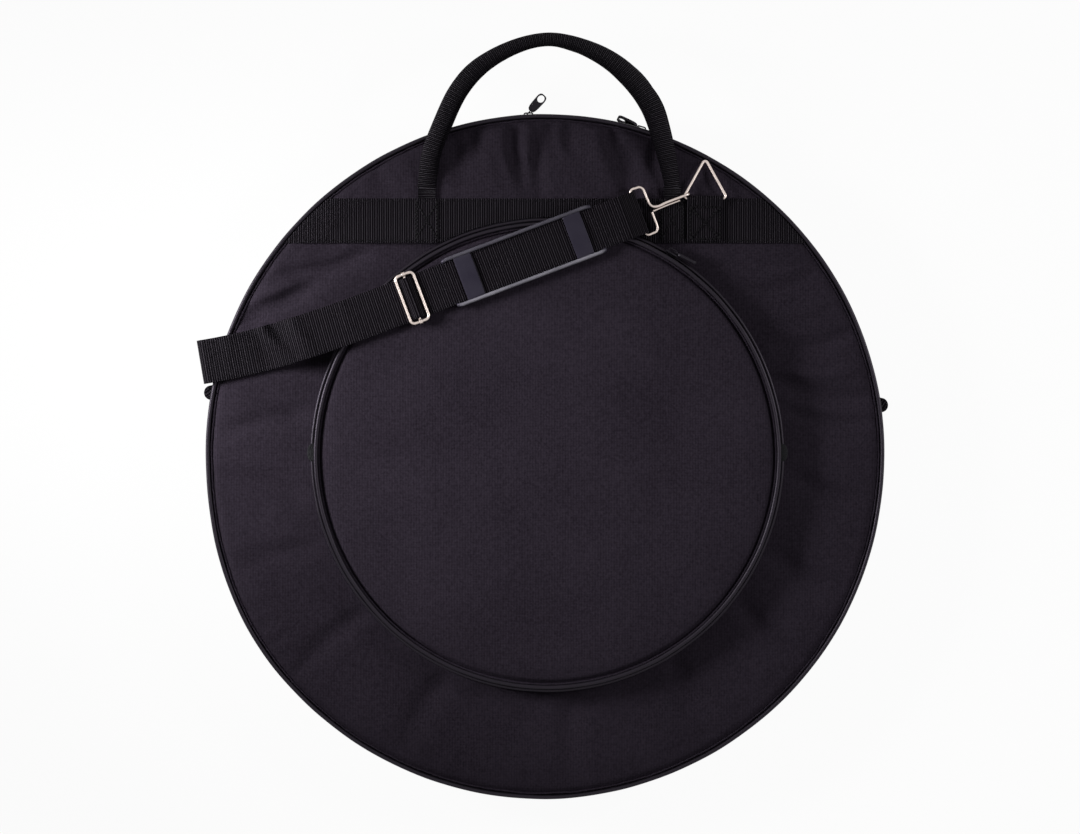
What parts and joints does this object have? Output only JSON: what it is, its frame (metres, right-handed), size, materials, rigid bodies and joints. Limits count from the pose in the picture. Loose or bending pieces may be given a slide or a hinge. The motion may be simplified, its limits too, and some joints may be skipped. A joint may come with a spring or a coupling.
{
  "type": "cymbal bag",
  "caption": "Round padded cymbal bag lying flat, with a zipped rim, a round front pocket, a carry handle and a detachable shoulder strap with hooks.",
  "frame": {"origin": "centre of the back panel's outer face, where the bag rests", "axes": "+Z comes out of the front panel, +Y points to the carry handle, +X to the right seen from the front"},
  "size_m": [0.5921, 0.6493, 0.0767],
  "materials": {
    "shell_cloth": "woven, matte",
    "foam": "closed-cell foam",
    "lining": "smooth woven",
    "piping_vinyl": "soft vinyl, semi-matte",
    "webbing": "ribbed weave",
    "zip_nylon": "woven tape and nylon coil",
    "nickel_wire": "nickel plated",
    "slider_metal": "black enamel",
    "pad_rubber": "moulded, satin"
  },
  "bodies": {
    "bag": {"back_band": "webbing", "back_foam": "foam", "back_hook": "nickel_wire", "back_lining": "lining", "back_piping": "piping_vinyl", "back_ring_tab": "webbing", "back_shell_cloth": "shell_cloth", "front_foam_lower": "foam", "front_lining_lower": "lining", "front_piping_lower": "piping_vinyl", "front_shell_cloth_lower": "shell_cloth", "gusset_lower": "shell_cloth", "gusset_strip_back": "shell_cloth", "pocket_end_tab_left": "webbing", "pocket_end_tab_right": "webbing", "pocket_face_cloth_lower": "shell_cloth", "pocket_face_foam_lower": "foam", "pocket_piping_base_lower": "piping_vinyl", "pocket_piping_face_lower": "piping_vinyl", "pocket_side_lower": "shell_cloth", "strap_back": "webbing", "zip_coil_back": "zip_nylon", "zip_end_tab_left": "webbing", "zip_end_tab_right": "webbing", "zip_tape_back": "zip_nylon"},
    "front_flap": {"front_shell_cloth_upper": "shell_cloth", "front_foam_upper": "foam", "front_lining_upper": "lining", "front_piping_upper": "piping_vinyl", "gusset_strip_front": "shell_cloth", "zip_tape_front": "zip_nylon", "zip_coil_front": "zip_nylon", "pocket_side_upper": "shell_cloth", "pocket_face_cloth_upper": "shell_cloth", "pocket_face_foam_upper": "foam", "pocket_piping_face_upper": "piping_vinyl", "pocket_piping_base_upper": "piping_vinyl", "pocket_zip": "zip_nylon", "front_band": "webbing", "front_ring_tab": "webbing", "front_hook": "nickel_wire", "handle_tail_left": "webbing", "handle_tail_right": "webbing", "strap_front": "webbing", "strap_front_inner": "webbing"},
    "slider_left": {"slider_left": "slider_metal"},
    "slider_left_pull": {"slider_left_pull": "slider_metal"},
    "slider_right": {"slider_right": "slider_metal"},
    "slider_right_pull": {"slider_right_pull": "slider_metal"},
    "pocket_slider": {"pocket_slider": "slider_metal"},
    "pocket_slider_pull": {"pocket_slider_pull": "slider_metal"},
    "handle": {"handle_cover": "webbing", "handle_core": "foam"},
    "ring_front": {"front_ring": "nickel_wire"},
    "gate_front": {"front_hook_gate": "nickel_wire"},
    "ring_back": {"back_ring": "nickel_wire"},
    "gate_back": {"back_hook_gate": "nickel_wire"},
    "pad": {"shoulder_pad": "pad_rubber"},
    "adjuster": {"adjuster_frame": "nickel_wire", "adjuster_webbing": "webbing"}
  },
  "joints": [
    {"name": "flap_fold", "type": "hinge", "parent": "bag", "child": "front_flap", "pos_m": [0, 0.06, 0.06733], "axis": [1, 0, 0], "range_deg": [0, 60]},
    {"name": "slider_left_run", "type": "hinge", "parent": "front_flap", "child": "slider_left", "pos_m": [0, 0, 0.026], "axis": [0, 0, 1], "range_deg": [0, 62]},
    {"name": "slider_left_pull_swing", "type": "hinge", "parent": "slider_left", "child": "slider_left_pull", "pos_m": [-0.01429, 0.2921, 0.026], "axis": [0.9988, 0.0489, 0], "range_deg": [-35, 35]},
    {"name": "slider_right_run", "type": "hinge", "parent": "front_flap", "child": "slider_right", "pos_m": [0, 0, 0.026], "axis": [0, 0, 1], "range_deg": [-59, 0]},
    {"name": "slider_right_pull_swing", "type": "hinge", "parent": "slider_right", "child": "slider_right_pull", "pos_m": [0.08256, 0.27873, 0.026], "axis": [0, 0, 1], "range_deg": [-110, 0]},
    {"name": "pocket_slider_run", "type": "hinge", "parent": "front_flap", "child": "pocket_slider", "pos_m": [0.002, -0.001, 0.05855], "axis": [0, 0, 1], "range_deg": [-33.5, 4]},
    {"name": "pocket_pull_swing", "type": "hinge", "parent": "pocket_slider", "child": "pocket_slider_pull", "pos_m": [0.10843, 0.17267, 0.05855], "axis": [0, 0, 1], "range_deg": [0, 110]},
    {"name": "handle_fold", "type": "hinge", "parent": "front_flap", "child": "handle", "pos_m": [0, 0.2252, 0.0509], "axis": [1, 0, 0], "range_deg": [0, 90]},
    {"name": "ring_front_turn", "type": "hinge", "parent": "front_flap", "child": "ring_front", "pos_m": [0.13621, 0.218, 0.0545], "axis": [1, 0, 0], "range_deg": [0, 22]},
    {"name": "gate_front_spring", "type": "hinge", "parent": "front_flap", "child": "gate_front", "pos_m": [0.09206, 0.20718, 0.0564], "axis": [0, 0, 1], "range_deg": [-12, 0], "stiffness_Nm_per_rad": 0.05},
    {"name": "ring_back_turn", "type": "hinge", "parent": "bag", "child": "ring_back", "pos_m": [0.112, 0.218, 0.0051], "axis": [1, 0, 0], "range_deg": [-16, 0]},
    {"name": "gate_back_spring", "type": "hinge", "parent": "bag", "child": "gate_back", "pos_m": [0.06934, 0.20451, 0.0032], "axis": [0, 0, 1], "range_deg": [-12, 0], "stiffness_Nm_per_rad": 0.05},
    {"name": "pad_slide", "type": "slide", "parent": "front_flap", "child": "pad", "axis": [0.9355, 0.3534, 0], "range_m": [-0.01, 0.008]},
    {"name": "adjuster_slide", "type": "slide", "parent": "front_flap", "child": "adjuster", "axis": [0.9355, 0.3534, 0], "range_m": [-0.02, 0.01]}
  ],
  "couplings": [
    {"joint": "slider_left_run", "follows": "flap_fold", "ratio": 1.0333},
    {"joint": "slider_right_run", "follows": "flap_fold", "ratio": -0.98333}
  ]
}
